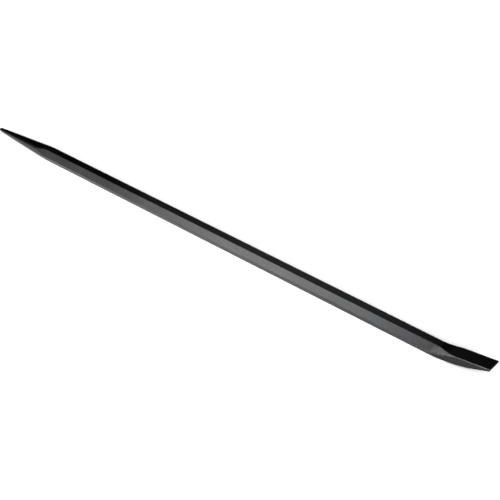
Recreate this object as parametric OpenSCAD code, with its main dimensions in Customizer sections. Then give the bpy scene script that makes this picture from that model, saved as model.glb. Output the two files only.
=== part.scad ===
// Hexagonal pry bar: a round drift point at one end, a turned-up chisel at the other.
// Millimetres. The bar lies along X on its lower flat, tip at -X, chisel edge at +X, +Z up.
// Origin: centre of the bounding box in X and Y, on the plane of the lower flat.
// The real bar is one forging. Its three regions are separate nodes that meet face to face.

/* [Shank] */
// overall length, from the tip to the chisel edge
bar_len = 914.4; // [600:0.1:1400]
// size of the hexagon across its flats
hex_af = 20.8; // [20:0.1:22]
// how far each corner of the hexagon is rolled down towards the axis
corner_break = 0.2; // [0.15:0.05:0.6]

/* [Drift point] */
// half angle of the round taper, in degrees
taper_angle = 4.25; // [4.25:0.25:5]
// diameter of the ball at the tip
tip_d = 6; // [4:1:9]

/* [Chisel top] */
// width across the two side faces of the blade
blade_w = 22.8; // [21.8:0.1:23.4]
// upward tilt of the top face, in degrees
blade_tilt = 7.5; // [5:0.5:10]
// distance from the edge back to the bottom of the hollow behind the blade
hollow_back = 60; // [55:0.5:70]
// depth of the hollow below the top flat
hollow_depth = 0.65; // [0.2:0.05:1.2]
// radius of the hollow
hollow_r = 70; // [50:1:100]
// distance from the edge back to the end of the flare, where the sides run parallel
flare_back = 48; // [40:1:50]
// angle of the flare to the axis, in degrees
flare_angle = 13; // [10:1:18]
// radius in plan where the flare meets the side faces
flare_r = 40; // [10:1:60]
// chamfer along the top edges of the blade
edge_break = 0.7; // [0.3:0.1:1.5]

/* [Chisel underside] */
// radius of the heel, where the lower flat turns up
heel_r = 47; // [20:1:80]
// slope of the underside ahead of the heel, in degrees
under_angle = 14.5; // [13:0.5:18]
// slope of the ground bevel at the edge, in degrees
bevel_angle = 21; // [19:0.5:24]
// length of the ground bevel
bevel_len = 30; // [20:1:38]
// thickness left at the chisel edge
edge_t = 3.1; // [1:0.1:4]

/* [Hidden] */
$fn = 96;
steel = "#33363a";
x_edge = bar_len / 2;
x_tip = -bar_len / 2;
corner_r = hex_af / 2 / cos(30);
turned_r = corner_r - corner_break;
half_flat = hex_af / 2 * tan(30);
half_w = blade_w / 2;
over = 1;
// plain hexagon that stays on the point and on the blade where the shank meets them
root_len = 4;
// drift point: the cone leaves the ball where the two are tangent
ball_r = tip_d / 2;
cone_x = x_tip + ball_r * (1 - sin(taper_angle));
cone_r = ball_r * cos(taper_angle);
cone_len = (turned_r - cone_r) / tan(taper_angle);
shank_x = cone_x + cone_len + root_len;
// top of the blade: flat, hollow, then the tilted face
hollow_x = x_edge - hollow_back;
hollow_z = hex_af - hollow_depth;
face_x = hollow_x + hollow_r * sin(blade_tilt);
face_z = hollow_z + hollow_r * (1 - cos(blade_tilt));
edge_z = face_z + (x_edge - face_x) * tan(blade_tilt);
// underside of the blade: heel arc, slope, then the ground bevel
bevel_x = x_edge - bevel_len;
bevel_z = edge_z - edge_t - bevel_len * tan(bevel_angle);
slope_z = heel_r * (1 - cos(under_angle));
slope_x = bevel_x - (bevel_z - slope_z) / tan(under_angle);
heel_x = slope_x - heel_r * sin(under_angle);
// plan of the blade
flare_x = x_edge - flare_back;
flare_start = flare_x - (half_w - half_flat) / tan(flare_angle);
flare_cut = flare_r * tan(flare_angle / 2);
blade_x = min(heel_x, flare_start) - root_len;
cut_w = 2 * blade_w;
cut_h = 2 * edge_z;

// cylinder lying along Y, centred on the XZ plane
module cross_cylinder(x, z, r) {
  translate([x, cut_w / 2, z])
    rotate([90, 0, 0])
      cylinder(h = cut_w, r = r);
}

// block with its lower edge line at x, z, leaning up by angle, filling above it
module above_line(x, z, angle, back, ahead) {
  translate([x, -cut_w / 2, z])
    rotate([0, -angle, 0])
      translate([-back, 0, 0])
        cube([back + ahead, cut_w, cut_h]);
}

// the same, filling below the line
module below_line(x, z, angle, back, ahead) {
  translate([x, -cut_w / 2, z])
    rotate([0, -angle, 0])
      translate([-back, 0, -cut_h])
        cube([back + ahead, cut_w, cut_h]);
}

// hexagonal prism, flats up and down
module hex_prism(from_x, to_x) {
  translate([from_x, 0, hex_af / 2])
    rotate([0, 90, 0])
      rotate([0, 0, 30])
        cylinder(h = to_x - from_x, r = corner_r, $fn = 6);
}

// round bar or cone on the axis
module round_bar(from_x, to_x, from_r, to_r) {
  translate([from_x, 0, hex_af / 2])
    rotate([0, 90, 0])
      cylinder(h = to_x - from_x, r1 = from_r, r2 = to_r);
}

// rolled bar: a hexagon whose corners are rolled down to the turned radius
module rolled_bar(from_x, to_x) {
  intersection() {
    hex_prism(from_x - over, to_x + over);
    round_bar(from_x, to_x, turned_r, turned_r);
  }
}

// corner of the blade plan, between the flare and one side face
module flare_corner() {
  difference() {
    polygon([
      [flare_x - flare_cut * cos(flare_angle), half_w - flare_cut * sin(flare_angle)],
      [flare_x - flare_cut, half_w + over],
      [flare_x + flare_cut, half_w + over],
      [flare_x + flare_cut, half_w]
    ]);
    translate([flare_x + flare_cut, half_w - flare_r])
      circle(r = flare_r, $fn = 720);
  }
}

// blade seen from above: the top flat flares out to the full width
module blade_plan() {
  difference() {
    polygon([
      [flare_start, -half_flat],
      [flare_x, -half_w],
      [x_edge, -half_w],
      [x_edge, half_w],
      [flare_x, half_w],
      [flare_start, half_flat]
    ]);
    flare_corner();
    mirror([0, 1])
      flare_corner();
  }
}

// all that is cut away above the blade
module top_cut() {
  translate([flare_start - over, -cut_w / 2, hex_af])
    cube([hollow_x - flare_start + over, cut_w, cut_h]);
  cross_cylinder(hollow_x, hollow_z + hollow_r, hollow_r);
  above_line(face_x, face_z, blade_tilt, 0, x_edge - face_x + cut_h);
}

// all that is cut away below the blade
module under_cut() {
  difference() {
    translate([heel_x, -cut_w / 2, -over])
      cube([slope_x - heel_x, cut_w, slope_z + over]);
    cross_cylinder(heel_x, heel_r, heel_r);
  }
  below_line(slope_x, slope_z, under_angle, over, x_edge - slope_x + cut_h);
  below_line(bevel_x, bevel_z, bevel_angle, over, bevel_len + cut_h);
}

// chamfer cutter along one top edge of the blade
module edge_cut() {
  translate([face_x, half_w - edge_break, face_z])
    rotate([0, -blade_tilt, 0])
      rotate([45, 0, 0])
        translate([0, -over, 0])
          cube([x_edge - face_x + cut_h, blade_w, blade_w]);
}

// round taper with a ball at its tip, cut out of the hexagon
module drift_point() {
  color(steel)
    intersection() {
      hex_prism(x_tip - over, shank_x + over);
      union() {
        translate([x_tip + ball_r, 0, hex_af / 2])
          sphere(r = ball_r);
        round_bar(cone_x, cone_x + cone_len, cone_r, turned_r);
        round_bar(cone_x + cone_len, shank_x, turned_r, turned_r);
      }
    }
}

// plain rolled bar between the point and the blade
module hex_shank() {
  color(steel)
    rolled_bar(shank_x, blade_x);
}

// turned-up chisel, with the last of the hexagon behind it
module chisel_blade() {
  color(steel)
    difference() {
      union() {
        rolled_bar(blade_x, flare_x);
        linear_extrude(height = edge_z + over)
          blade_plan();
      }
      top_cut();
      under_cut();
      edge_cut();
      mirror([0, 1, 0])
        edge_cut();
    }
}

drift_point();
hex_shank();
chisel_blade();
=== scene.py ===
"""Looks of a hexagonal pry bar: one forged steel bar with a drift point and a turned-up chisel."""
import math

import bpy
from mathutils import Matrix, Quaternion, Vector, noise


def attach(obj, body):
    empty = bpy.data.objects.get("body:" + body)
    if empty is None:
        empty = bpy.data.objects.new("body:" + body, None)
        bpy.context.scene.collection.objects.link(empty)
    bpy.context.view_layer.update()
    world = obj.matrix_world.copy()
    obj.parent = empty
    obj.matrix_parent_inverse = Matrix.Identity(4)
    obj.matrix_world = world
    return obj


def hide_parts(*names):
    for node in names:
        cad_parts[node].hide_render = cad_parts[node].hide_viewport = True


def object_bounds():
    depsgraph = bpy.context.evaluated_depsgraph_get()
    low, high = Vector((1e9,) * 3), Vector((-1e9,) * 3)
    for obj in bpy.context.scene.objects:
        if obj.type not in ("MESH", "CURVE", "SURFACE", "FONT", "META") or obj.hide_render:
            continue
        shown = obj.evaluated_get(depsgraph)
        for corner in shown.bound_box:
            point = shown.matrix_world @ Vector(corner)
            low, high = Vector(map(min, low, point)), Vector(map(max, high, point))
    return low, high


MM = 0.001
REGIONS = ("drift_point", "hex_shank", "chisel_blade")


def plain(box):
    """A box as lists of floats, for json."""
    return [[float(c) for c in corner] for corner in box]


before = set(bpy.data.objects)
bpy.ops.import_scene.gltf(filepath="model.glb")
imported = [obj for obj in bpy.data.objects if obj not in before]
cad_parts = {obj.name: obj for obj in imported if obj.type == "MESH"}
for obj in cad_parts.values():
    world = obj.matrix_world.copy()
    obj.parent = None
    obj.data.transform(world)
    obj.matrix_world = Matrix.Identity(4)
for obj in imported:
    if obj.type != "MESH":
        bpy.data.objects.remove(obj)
cad_box = plain(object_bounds())

# ---------------------------------------------------------------- sizes, in mm, in the row frame
# "ahead" is a distance from the tip, "back" a distance from the chisel edge.
# A pair of backs says where something sets in and where it is complete.
X_TIP, X_EDGE = cad_box[0][0] / MM, cad_box[1][0] / MM
LENGTH = X_EDGE - X_TIP
BOTTOM = cad_box[0][2] / MM

HEX_AF = 20.8                        # across the flats
HALF_FLAT = HEX_AF / 2 * math.tan(math.radians(30))
CORNER = HEX_AF / 2 / math.cos(math.radians(30))
AXIS_Z = BOTTOM + HEX_AF / 2
CORNER_FILLET = 1.35                 # rolled corners of the stock

BALL_R = 3.0                         # drift point
TAPER = math.radians(4.25)
BALL_JOINT = BALL_R * (1 - math.sin(TAPER))
CONE_SOFT = 0.3                      # how softly the taper runs out of the flats
CONE_MARGIN = 1.0                    # the cone is dropped once it clears the corners by this much
CRISP_AHEAD = 20.0                   # nearer the tip than this the cone has no soft run-out
GROUND_BLEND = 0.3                   # how softly the turned finish sets in

BLADE_HALF_W = 11.37                 # chisel
TILT = math.radians(7.5)
HOLLOW_BACK = 60.0
HOLLOW_DEPTH = 0.65
HOLLOW_R = 70.0
HOLLOW_SOFT = 0.25                   # how softly the top flat runs into the hollow
FLARE_BACK = (71.5, 47.5)
RIDGE_BACK = (80.0, 47.0)
LOW_EDGE_BACK = (84.0, 44.0)
CHAMFER_W = 0.55                     # chamfer along the top edges of the blade, across and down
CHAMFER_H = 0.75
LOW_INSET = 0.15                     # the sides lean in a little towards the underside
BLADE_FILLET = 0.22                  # rounding of the top edges and of the chamfers' lower edges
LOW_FILLET = 0.45                    # rounding of the lower edges
RIDGE_SOFT = 5.0                     # extra rounding of the hexagon's ridge half way onto the blade
HEEL_R = 47.0
UNDER = math.radians(14.5)
BEVEL = math.radians(21.0)
BEVEL_BACK = 30.0
BEVEL_SOFT = 0.5                     # how softly the slope turns into the bevel
EDGE_T = 3.1
RIM = 0.3                            # small rounding round the edge face

CHAMFER_HIGHLIGHT_BACK = (58.0, 44.0)             # painted highlight on the chamfers of the blade, in the lighter rubbed tone
CHAMFER_HIGHLIGHT_MOST = 0.8
FORGED_BACK = (330.0, 60.0)          # darker skin of the heated end
FACE_SHADE_BACK = (76.0, 46.0)       # painted shade on the face of the blade; the next line, painted shade on the lower facets
LOWER_SHADE_BACK = (460.0, 100.0)
FACE_BAND = 0.4                      # this far below the top still counts as the face
RIDGE_BAND = 1.0                     # the lower facets begin this far below the ridge

BLADE_BACK = 95.0                    # dents: the forged skin sets in here and is complete at
DENTED_BACK = 55.0                   # this back, and fades out again over the last stretch
DENT_FADE = 14.0
SLOW_DENT, SLOW_PITCH, SLOW_SHIFT = 0.035, (0.018, 0.05, 0.05), (3.1, 7.7, 1.9)
FORGED_DENT, FORGED_PITCH, FORGED_SHIFT = 0.17, (0.085, 0.11, 0.11), (9.2, 0.4, 5.5)

BALL_STEPS = 14                      # sections round the ball; the first stands off the tip by
FIRST_STEP = 0.35                    # this share of a step
SCALLOPS = (66.0, 130.0)             # ahead: where the cone leaves the flats, drawn finely
FINE_BACK = 92.0                     # the blade is drawn finely from here
RIM_ANGLES = (0.0, 0.35, 0.8, 1.25)
STRETCHES = (                        # start and stop ahead, distance between sections
    (BALL_JOINT, SCALLOPS[0], 1.6),
    (SCALLOPS[0], SCALLOPS[1], 0.55),
    (SCALLOPS[1], LENGTH - FINE_BACK, 3.5),
    (LENGTH - FINE_BACK, LENGTH - RIM, 0.7),
)
SIDE_STEPS = (0.03, 0.1, 0.25, 0.42, 0.58, 0.75, 0.9, 0.97)
ARC_STEPS = 5
MOST_CUT = 0.42                      # largest share of a side that one fillet may take


# ---------------------------------------------------------------- profile of the forging
def ease(t):
    """Smooth step from 0 to 1."""
    t = min(1.0, max(0.0, t))
    return t * t * (3 - 2 * t)


def ease_long(t):
    """Nearly straight ramp from 0 to 1 with softened ends."""
    t = min(1.0, max(0.0, t))
    return 0.5 * t + 0.5 * ease(t)


def between(back, limits):
    """0 at the first distance back from the edge, 1 at the second."""
    return (limits[0] - back) / (limits[0] - limits[1])


def soft_min(a, b, k):
    """Smaller of two values, blended where they differ by less than k."""
    h = min(1.0, max(0.0, 0.5 + 0.5 * (b - a) / k))
    return b + (a - b) * h - k * h * (1 - h)


def soft_max(a, b, k):
    return -soft_min(-a, -b, k)


FACE_BACK = HOLLOW_BACK - HOLLOW_R * math.sin(TILT)
HOLLOW_Z = HEX_AF - HOLLOW_DEPTH
FACE_Z = HOLLOW_Z + HOLLOW_R * (1 - math.cos(TILT))
EDGE_Z = FACE_Z + FACE_BACK * math.tan(TILT)
BEVEL_Z = EDGE_Z - EDGE_T - BEVEL_BACK * math.tan(BEVEL)
HEEL_TOP = HEEL_R * (1 - math.cos(UNDER))
SLOPE_BACK = BEVEL_BACK + (BEVEL_Z - HEEL_TOP) / math.tan(UNDER)
HEEL_BACK = SLOPE_BACK + HEEL_R * math.sin(UNDER)


def top_z(back):
    """Height of the top face above the lower flat."""
    if back < FACE_BACK:
        return FACE_Z + (FACE_BACK - back) * math.tan(TILT)
    reach = HOLLOW_BACK - back
    if abs(reach) >= HOLLOW_R:
        return HEX_AF
    hollow = HOLLOW_Z + HOLLOW_R - math.sqrt(HOLLOW_R ** 2 - reach ** 2)
    return soft_min(HEX_AF, hollow, HOLLOW_SOFT) if reach < 0 else hollow


def under_z(back):
    """Height of the underside above the lower flat."""
    if back >= HEEL_BACK:
        return 0.0
    if back >= SLOPE_BACK:
        return HEEL_R - math.sqrt(HEEL_R ** 2 - (HEEL_BACK - back) ** 2)
    slope = HEEL_TOP + (SLOPE_BACK - back) * math.tan(UNDER)
    bevel = BEVEL_Z + (BEVEL_BACK - back) * math.tan(BEVEL)
    return soft_max(slope, bevel, BEVEL_SOFT)


def cone_radius(ahead):
    """Radius of the turned point at a distance ahead of the tip."""
    if ahead < BALL_JOINT:
        return math.sqrt(max(0.0, BALL_R ** 2 - (BALL_R - ahead) ** 2))
    return BALL_R * math.cos(TAPER) + (ahead - BALL_JOINT) * math.tan(TAPER)


def corners(back):
    """The three corners of one half of the section: top, ridge, low. (y, z, fillet radius)"""
    flare = ease_long(between(back, FLARE_BACK))
    ridge = ease_long(between(back, RIDGE_BACK))
    low = ease_long(between(back, LOW_EDGE_BACK))
    top = top_z(back)
    y_top = HALF_FLAT + (BLADE_HALF_W - CHAMFER_W - HALF_FLAT) * flare
    y_ridge = CORNER + (BLADE_HALF_W - CORNER) * ridge
    z_ridge = HEX_AF / 2 + (top - CHAMFER_H - HEX_AF / 2) * ridge
    y_low = HALF_FLAT + (BLADE_HALF_W - LOW_INSET - HALF_FLAT) * low
    z_low = under_z(back)
    fillet = CORNER_FILLET + (BLADE_FILLET - CORNER_FILLET) * max(flare, ridge)
    ridge_fillet = fillet + RIDGE_SOFT * 4 * ridge * (1 - ridge)
    low_fillet = CORNER_FILLET + (LOW_FILLET - CORNER_FILLET) * low
    return (y_top, top, fillet), (y_ridge, z_ridge, ridge_fillet), (y_low, z_low, low_fillet)


def rounded_ring(points):
    """Samples a closed polygon with filleted corners. Returns (y, z, edge).

    edge rises from 0 at the ends of a fillet to 1 at its middle, and is 0 on the sides.
    """
    ring = []
    arcs = []
    n = len(points)
    for i in range(n):
        a = Vector(points[i - 1][:2])
        b = Vector(points[i][:2])
        c = Vector(points[(i + 1) % n][:2])
        to_a = a - b
        to_c = c - b
        half = to_a.angle(to_c) / 2
        cut = min(points[i][2] / math.tan(half), MOST_CUT * to_a.length, MOST_CUT * to_c.length)
        r = cut * math.tan(half)
        start = b + to_a.normalized() * cut
        middle = b + (to_a.normalized() + to_c.normalized()).normalized() * (r / math.sin(half))
        end = b + to_c.normalized() * cut
        arcs.append((start, middle, end))
    for i, (start, middle, end) in enumerate(arcs):
        u = start - middle
        v = end - middle
        turn = u.angle(v)
        for k in range(ARC_STEPS + 1):
            t = k / ARC_STEPS
            p = middle + (u * math.sin((1 - t) * turn) + v * math.sin(t * turn)) / math.sin(turn)
            ring.append((p.x, p.y, 1.0 - abs(2 * t - 1)))
        following = arcs[(i + 1) % n][0]
        for t in SIDE_STEPS:
            p = end.lerp(following, t)
            ring.append((p.x, p.y, 0.0))
    return ring


def stations():
    """Distances ahead of the tip at which the section is drawn."""
    out = [BALL_JOINT * (1 - math.cos(math.pi / 2 * (k + FIRST_STEP) / BALL_STEPS))
           for k in range(BALL_STEPS)]
    for start, stop, pitch in STRETCHES:
        count = max(1, round((stop - start) / pitch))
        out += [start + (stop - start) * k / count for k in range(count)]
    out += [LENGTH - RIM * (1 - math.sin(a)) for a in RIM_ANGLES]
    return out


def rim_inset(ahead):
    """How far the last sections shrink towards the edge face."""
    into = ahead - (LENGTH - RIM)
    if into <= 0:
        return 0.0
    return RIM - math.sqrt(max(0.0, RIM ** 2 - into ** 2))


def waves(x, y, z, pitch, shift):
    """Smooth noise, mostly between 0 and 1."""
    place = Vector((x * pitch[0], y * pitch[1], z * pitch[2]))
    return 0.5 + 0.5 * noise.noise(place + Vector(shift))


def unevenness(x, y, z, back):
    """Inward dents of the forged skin: faint on the rolled shank, stronger on the blade."""
    forged = ease(between(back, (BLADE_BACK, DENTED_BACK))) * ease(back / DENT_FADE)
    slow = waves(x, y, z, SLOW_PITCH, SLOW_SHIFT)
    dents = waves(x, y, z, FORGED_PITCH, FORGED_SHIFT)
    return SLOW_DENT * slow + FORGED_DENT * dents * forged


def painted_shade(z, back, top):
    """Painted shade: darker face of the blade and darker lower facets of the heated end."""
    on_blade = ease(between(back, FACE_SHADE_BACK))
    if z > top - FACE_BAND:
        return on_blade
    if z < HEX_AF / 2 - RIDGE_BAND:
        return ease(between(back, LOWER_SHADE_BACK)) * (1 - on_blade)
    return 0.0


def turn_down(y, dz, ahead):
    """Pulls a point of the section in to the turned point. Returns y, dz and the turned share."""
    limit = cone_radius(ahead)
    if limit >= CORNER + CONE_MARGIN:
        return y, dz, 0.0
    radius = math.hypot(y, dz)
    limited = min(radius, limit) if ahead < CRISP_AHEAD else soft_min(radius, limit, CONE_SOFT)
    ground = ease((radius - limit) / GROUND_BLEND + 0.5)
    return y * limited / radius, dz * limited / radius, ground


def section(ahead):
    """One ring of the bar: its points in metres, and the edge wear and painted highlight, ground, forged
    and painted shade masks of each point.
    """
    back = LENGTH - ahead
    top, ridge, low = corners(back)
    mirrored = [(-y, z, fillet) for y, z, fillet in (low, ridge, top)]
    inset = rim_inset(ahead)
    mid_z = (top[1] + low[1]) / 2
    centre_z = mid_z if back < BLADE_BACK else HEX_AF / 2
    chamfer_highlight = CHAMFER_HIGHLIGHT_MOST * ease(between(back, CHAMFER_HIGHLIGHT_BACK))
    forged = ease(between(back, FORGED_BACK))
    points = []
    masks = []
    for y, z, edge in rounded_ring([top, ridge, low] + mirrored):
        # the chamfers above the ridge take the painted highlight in the edge mask
        if z > ridge[1] and abs(y) > top[0]:
            edge = max(edge, chamfer_highlight)
        y, dz, ground = turn_down(y, z - HEX_AF / 2, ahead)
        edge *= 1 - ground
        z = HEX_AF / 2 + dz
        if inset:
            y -= math.copysign(min(inset, abs(y)), y)
            z += math.copysign(min(inset, abs(z - mid_z)), mid_z - z)
        else:
            dent = unevenness(ahead, y, z, back) * (1 - ground)
            out = Vector((y, z - centre_z)).normalized()
            y -= out.x * dent
            z -= out.y * dent
        points.append(((X_TIP + ahead) * MM, y * MM, (BOTTOM + max(z, 0.0)) * MM))
        masks.append((edge, ground, forged, painted_shade(z, back, top[1]) * (1 - edge)))
    return points, masks


def build_bar():
    """The bar as one closed mesh: rings from tip to edge, a fan at the tip, a face at the edge."""
    verts = []
    masks = []
    faces = []
    size = 0
    for ahead in stations():
        ring, ring_masks = section(ahead)
        size = len(ring)
        if verts:
            base = len(verts) - size
            for i in range(size):
                j = (i + 1) % size
                faces.append((base + i, base + size + i, base + size + j, base + j))
        verts += ring
        masks += ring_masks
    last = len(verts) - size
    tip = len(verts)
    verts.append((X_TIP * MM, 0.0, AXIS_Z * MM))
    masks.append((0.0, 1.0, 0.0, 0.0))
    for i in range(size):
        faces.append((tip, i, (i + 1) % size))
    faces.append(tuple(reversed(range(last, last + size))))

    mesh = bpy.data.meshes.new("pry_bar")
    mesh.from_pydata(verts, [], faces)
    # the first mask also carries a painted highlight on the chamfers; the last mask is painted shade
    for name, values in zip(("edge_wear_and_highlight", "ground", "forged", "painted_shade"), zip(*masks)):
        mesh.attributes.new(name, "FLOAT", "POINT").data.foreach_set("value", values)
    mesh.validate()
    mesh.update()
    bar = bpy.data.objects.new("pry_bar", mesh)
    bpy.context.scene.collection.objects.link(bar)
    for polygon in mesh.polygons:
        polygon.use_smooth = True
    mesh.polygons[len(mesh.polygons) - 1].use_smooth = False
    weighted = bar.modifiers.new("weighted_normals", "WEIGHTED_NORMAL")
    weighted.keep_sharp = True
    weighted.weight = 60
    return bar


# ---------------------------------------------------------------- material
SKIN_DARK = (0.0365, 0.0368, 0.0378, 1)
SKIN_LIGHT = (0.062, 0.062, 0.0622, 1)
SCALE_TONE = (0.076, 0.072, 0.068, 1)
GROUND_TONE, GROUND_SHARE = (0.085, 0.085, 0.086, 1), 0.6
FORGED_TONE, FORGED_SHARE = (0.020, 0.021, 0.023, 1), 0.45
# painted shade: the dark tone laid on the blade face and the lower facets
PAINTED_SHADE_TONE, PAINTED_SHADE_SHARE = (0.010, 0.0105, 0.0115, 1), 0.85
# lighter tone: real wear on rubbed edges, painted highlight on the blade's chamfers
RUBBED_AND_HIGHLIGHT_TONE = (0.19, 0.185, 0.18, 1)
RUBBED_SMOOTHER = 0.06               # how much less rough the rubbed edges, the chamfers with the painted highlight and the turned point are
GROUND_SMOOTHER = 0.08
GRAZING_TINT = (0.62, 0.62, 0.62, 1)
BUMP_DEPTH = 0.00006                 # metres


class Nodes:
    """Small helper that adds and links shader nodes."""

    def __init__(self, tree):
        self.tree = tree
        tree.nodes.clear()

    def add(self, kind, inputs=None, **settings):
        node = self.tree.nodes.new(kind)
        for key, value in settings.items():
            setattr(node, key, value)
        for key, value in (inputs or {}).items():
            self.feed(node.inputs[key], value)
        return node

    def feed(self, socket, value):
        """Links a socket to another one, or gives it a constant value."""
        if isinstance(value, bpy.types.NodeSocket):
            self.tree.links.new(value, socket)
        else:
            socket.default_value = value

    def attribute(self, name):
        return self.add("ShaderNodeAttribute", attribute_name=name).outputs["Fac"]

    def math(self, operation, a, b=0.0, clamp=False):
        return self.add("ShaderNodeMath", {0: a, 1: b}, operation=operation, use_clamp=clamp).outputs[0]

    def remap(self, value, low, high, to_low, to_high):
        return self.add("ShaderNodeMapRange", {"Value": value, "From Min": low, "From Max": high,
                                               "To Min": to_low, "To Max": to_high}).outputs["Result"]

    def mix(self, factor, a, b):
        """Mixes two colours. Sockets 6 and 7 are the node's colour inputs, output 2 its colour."""
        return self.add("ShaderNodeMix", {"Factor": factor, 6: a, 7: b}, data_type="RGBA").outputs[2]

    def noise(self, vector, scale, detail=3.0, rough=0.55, stretch=(1, 1, 1), offset=(0, 0, 0)):
        place = self.add("ShaderNodeMapping", {"Vector": vector, "Scale": stretch, "Location": offset})
        return self.add("ShaderNodeTexNoise", {"Vector": place.outputs[0], "Scale": scale,
                                               "Detail": detail, "Roughness": rough}).outputs["Fac"]


def black_oxide():
    material = bpy.data.materials.new("black_oxide_steel")
    material.use_nodes = True
    n = Nodes(material.node_tree)
    where = n.add("ShaderNodeTexCoord").outputs["Object"]
    # edge mask: edge wear on the corners, painted highlight on the blade's chamfers
    edge = n.attribute("edge_wear_and_highlight")
    ground = n.attribute("ground")
    forged = n.attribute("forged")
    # mask of the painted shade on the blade face and the lower facets
    painted_shade_mask = n.attribute("painted_shade")

    cloud = n.noise(where, 38.0, 4.0, 0.6, stretch=(0.6, 1, 1))
    mottle = n.noise(where, 210.0, 5.0, 0.65, offset=(0.3, 0.1, 0.7))
    grain = n.noise(where, 1500.0, 3.0, 0.6)
    drawn = n.noise(where, 900.0, 2.0, 0.5, stretch=(0.02, 1, 1))
    turned = n.noise(where, 1300.0, 2.0, 0.5, stretch=(1, 0.04, 0.04))

    tone = n.math("ADD", n.remap(cloud, 0.3, 0.7, 0.0, 0.55), n.remap(mottle, 0.3, 0.7, 0.0, 0.45))
    skin = n.mix(tone, SKIN_DARK, SKIN_LIGHT)
    scale = n.remap(n.math("MULTIPLY", cloud, mottle), 0.30, 0.42, 0.0, 0.5)
    skin = n.mix(scale, skin, SCALE_TONE)
    skin = n.mix(n.math("MULTIPLY", ground, GROUND_SHARE), skin, GROUND_TONE)
    skin = n.mix(n.math("MULTIPLY", forged, FORGED_SHARE), skin, FORGED_TONE)
    # painted shade on the blade face and the lower facets
    skin = n.mix(n.math("MULTIPLY", painted_shade_mask, PAINTED_SHADE_SHARE), skin, PAINTED_SHADE_TONE)

    # rubbed edges: real wear on the corners, painted highlight on the blade's chamfers
    rub_and_highlight = n.math("MULTIPLY", edge, n.remap(mottle, 0.35, 0.70, 0.25, 0.8), clamp=True)
    rub_and_highlight = n.math("MULTIPLY", rub_and_highlight, n.remap(cloud, 0.35, 0.6, 0.25, 1.0), clamp=True)
    colour = n.mix(rub_and_highlight, skin, RUBBED_AND_HIGHLIGHT_TONE)

    rough = n.math("ADD", n.remap(cloud, 0.3, 0.7, 0.25, 0.31), n.remap(grain, 0.3, 0.7, -0.03, 0.03))
    rough = n.math("ADD", rough, n.remap(mottle, 0.3, 0.7, -0.02, 0.03))
    rough = n.math("SUBTRACT", rough, n.math("MULTIPLY", rub_and_highlight, RUBBED_SMOOTHER))
    rough = n.math("SUBTRACT", rough, n.math("MULTIPLY", ground, GROUND_SMOOTHER))

    # sockets 2 and 3 are the node's float inputs: drawing lines along the bar, turning lines across
    lines = n.add("ShaderNodeMix", {"Factor": ground, 2: drawn, 3: turned}).outputs[0]
    height = n.math("ADD", n.math("MULTIPLY", lines, 0.45), n.math("MULTIPLY", grain, 0.3))
    height = n.math("ADD", height, n.math("MULTIPLY", mottle, 0.5))
    height = n.math("ADD", height, n.math("MULTIPLY", n.math("MULTIPLY", cloud, forged), 1.4))
    bump = n.add("ShaderNodeBump", {"Height": height, "Strength": 0.5, "Distance": BUMP_DEPTH}).outputs[0]

    shader = n.add("ShaderNodeBsdfPrincipled", {"Base Color": colour, "Roughness": rough,
                                                "Metallic": 1.0, "Normal": bump,
                                                "Specular Tint": GRAZING_TINT})
    n.add("ShaderNodeOutputMaterial", {"Surface": shader.outputs[0]})
    return material


bar = build_bar()
bar.data.materials.append(black_oxide())
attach(bar, "root")
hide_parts(*REGIONS)


# ---------------------------------------------------------------- stage, light and camera, in metres
FLOOR_REACH = 60.0
FLOOR_GAP = 0.00005                  # below the bar, so that the two don't share a plane
FLOOR_TONE = (0.88, 0.88, 0.88, 1)
SUN_AZIMUTH, SUN_ELEVATION = 41.6, 37.0
SUN_DISTANCE = 3
SUN_ENERGY = 6.6
SUN_ANGLE = math.radians(40)         # wide, for soft shadows
SOFTBOXES = (                        # name, place, aim, width, height, radiance
    ("front_box", (-0.37, -0.98, 0.43), (0.12, 0.0, 0.0), 0.72, 0.74, 4.5),
    ("left_box", (-0.99, -0.84, 0.27), (-0.25, 0.0, 0.0), 0.54, 0.40, 1.35),
    ("back_card", (-0.31, 0.56, 0.68), (0.0, 0.0, 0.0), 0.72, 0.34, 0.52),
    ("rear_box", (0.75, 1.05, 0.40), (0.0, 0.0, 0.0), 0.80, 0.60, 1.2),
)
STUDIO_TONE = (0.012, 0.012, 0.0125, 1)
CAMERA_PLACE = Vector((0.81893, -0.92888, 0.84846))
CAMERA_LOOK = Vector((-0.51054, 0.64088, -0.57325))
CAMERA_ROLL = math.radians(2.01)
CAMERA_LENS = 75.42
CAMERA_SENSOR = 36.0
CAMERA_SHIFT = (-0.0013, 0.0006)
CAMERA_REACH = 200.0


def plain_material(name, colour):
    material = bpy.data.materials.new(name)
    material.use_nodes = True
    n = Nodes(material.node_tree)
    shader = n.add("ShaderNodeBsdfPrincipled", {"Base Color": colour, "Roughness": 0.9,
                                                "Specular IOR Level": 0.1})
    n.add("ShaderNodeOutputMaterial", {"Surface": shader.outputs[0]})
    return material


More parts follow.
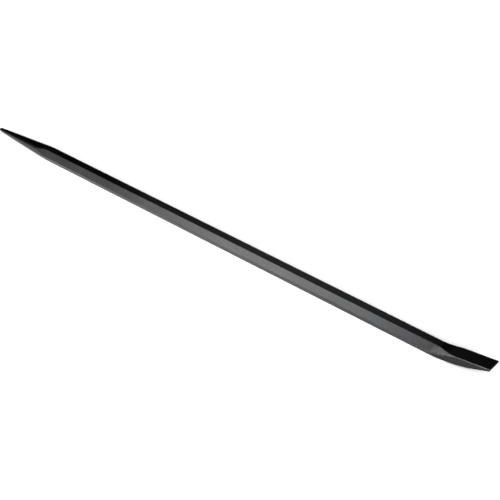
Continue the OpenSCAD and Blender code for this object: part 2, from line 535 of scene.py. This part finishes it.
def build_floor():
    mesh = bpy.data.meshes.new("floor")
    z = BOTTOM * MM - FLOOR_GAP
    square = ((-1, -1), (1, -1), (1, 1), (-1, 1))
    mesh.from_pydata([(x * FLOOR_REACH, y * FLOOR_REACH, z) for x, y in square], [], [(0, 1, 2, 3)])
    floor = bpy.data.objects.new("floor", mesh)
    bpy.context.scene.collection.objects.link(floor)
    mesh.materials.append(plain_material("pale_floor", FLOOR_TONE))


def direction(azimuth, elevation):
    """Unit vector towards an azimuth from -Y, turning to +X, and an elevation, in degrees."""
    a, e = math.radians(azimuth), math.radians(elevation)
    return Vector((math.sin(a) * math.cos(e), -math.cos(a) * math.cos(e), math.sin(e)))


def add_light(name, kind, place, aim, **settings):
    data = bpy.data.lights.new(name, kind)
    for key, value in settings.items():
        setattr(data, key, value)
    lamp = bpy.data.objects.new(name, data)
    lamp.location = place
    lamp.rotation_mode = "QUATERNION"
    lamp.rotation_quaternion = (Vector(aim) - Vector(place)).to_track_quat("-Z", "Y")
    bpy.context.scene.collection.objects.link(lamp)


def softbox(name, place, aim, width, height, radiance):
    add_light(name, "AREA", place, aim, shape="RECTANGLE", size=width, size_y=height,
              energy=radiance * math.pi * width * height)


def add_camera():
    data = bpy.data.cameras.new("camera")
    data.sensor_width = CAMERA_SENSOR
    data.lens = CAMERA_LENS
    data.shift_x, data.shift_y = CAMERA_SHIFT
    data.clip_end = CAMERA_REACH
    camera = bpy.data.objects.new("camera", data)
    camera.location = CAMERA_PLACE
    camera.rotation_mode = "QUATERNION"
    camera.rotation_quaternion = (CAMERA_LOOK.to_track_quat("-Z", "Y")
                                  @ Quaternion((0, 0, 1), CAMERA_ROLL))
    bpy.context.scene.collection.objects.link(camera)
    bpy.context.scene.camera = camera


build_floor()
add_light("sun", "SUN", direction(SUN_AZIMUTH, SUN_ELEVATION) * SUN_DISTANCE, (0, 0, 0),
          energy=SUN_ENERGY, angle=SUN_ANGLE)
for box in SOFTBOXES:
    softbox(*box)
world = bpy.data.worlds.new("studio")
bpy.context.scene.world = world
world.use_nodes = True
world.node_tree.nodes["Background"].inputs["Color"].default_value = STUDIO_TONE
add_camera()
bpy.context.scene.view_settings.view_transform = "Standard"
